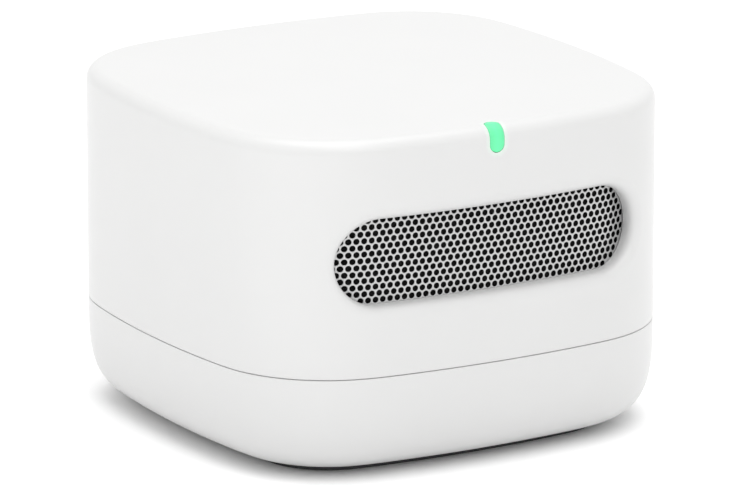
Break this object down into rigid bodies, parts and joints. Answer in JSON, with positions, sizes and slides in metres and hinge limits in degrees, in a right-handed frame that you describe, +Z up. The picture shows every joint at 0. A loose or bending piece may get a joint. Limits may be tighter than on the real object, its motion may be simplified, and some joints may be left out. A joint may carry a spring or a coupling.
{
  "type": "smart home hub",
  "caption": "Small rounded-square desktop hub with a pill-shaped perforated air inlet, a status light over the front top edge, rear vents, a power inlet and a push button.",
  "frame": {"origin": "on the table under the centre of the hub", "axes": "+Z up, the front with the air inlet faces -Y, +X to the right of the hub seen from the front"},
  "size_m": [0.065, 0.065, 0.045],
  "materials": {
    "housing_white": "fine matte moulded white plastic",
    "grille_white": "white powder-coated perforated sheet",
    "rubber_dark": "matte dark grey rubber",
    "foam_black": "open-cell black foam and dust mesh",
    "light_pipe": "frosted clear plastic, lit pale green",
    "plastic_black": "matte black moulded plastic",
    "board_green": "green solder mask",
    "steel": "plated steel",
    "brass": "plain brass",
    "chip_black": "moulded black package",
    "connector_cream": "cream nylon",
    "cable_white": "flat white cable"
  },
  "bodies": {
    "housing": {"upper_housing": "housing_white", "base_cover": "housing_white", "rubber_foot": "rubber_dark", "front_grille": "grille_white", "inlet_filter": "foam_black", "inlet_gasket": "foam_black", "exhaust_screen": "foam_black", "status_light_pipe": "light_pipe", "inner_chassis": "plastic_black", "main_board": "board_green", "sensor_board": "board_green", "sensor_circuit": "board_green", "usb_socket": "steel", "wifi_shield_can": "steel", "power_capacitor": "steel", "co_sensor": "steel", "switch_body": "plastic_black", "main_processor": "chip_black", "power_inductor": "chip_black", "voc_sensor": "chip_black", "humidity_sensor": "chip_black", "photodiode": "chip_black", "wifi_antenna": "brass", "laser_module": "brass", "fan_bearing": "brass", "ribbon_connector_lower": "connector_cream", "ribbon_connector_upper": "connector_cream", "sensor_cable_connector": "connector_cream", "status_led": "connector_cream", "sensor_ribbon": "cable_white", "sensor_cable": "cable_white", "sensor_lower_case": "plastic_black", "sensor_upper_case": "plastic_black", "base_screw_1": "steel", "base_screw_2": "steel", "base_screw_3": "steel", "base_screw_4": "steel", "chassis_screw_1": "steel", "chassis_screw_2": "steel", "chassis_screw_3": "steel", "chassis_screw_4": "steel", "sensor_board_screw_1": "steel", "sensor_board_screw_2": "steel", "main_board_screw_1": "steel", "main_board_screw_2": "steel", "sensor_case_screw_1": "steel", "sensor_case_screw_2": "steel"},
    "button": {"button_cap": "housing_white", "switch_plunger": "plastic_black"},
    "fan": {"fan_rotor": "plastic_black", "fan_shaft": "steel"}
  },
  "joints": [
    {"name": "button_press", "type": "slide", "parent": "housing", "child": "button", "axis": [0, -1, 0], "range_m": [0, 0.0004], "stiffness_N_per_m": 3000},
    {"name": "fan_spin", "type": "hinge", "parent": "housing", "child": "fan", "pos_m": [0.009, 0.0025, 0.0288], "axis": [0, 0, 1], "continuous": true}
  ]
}
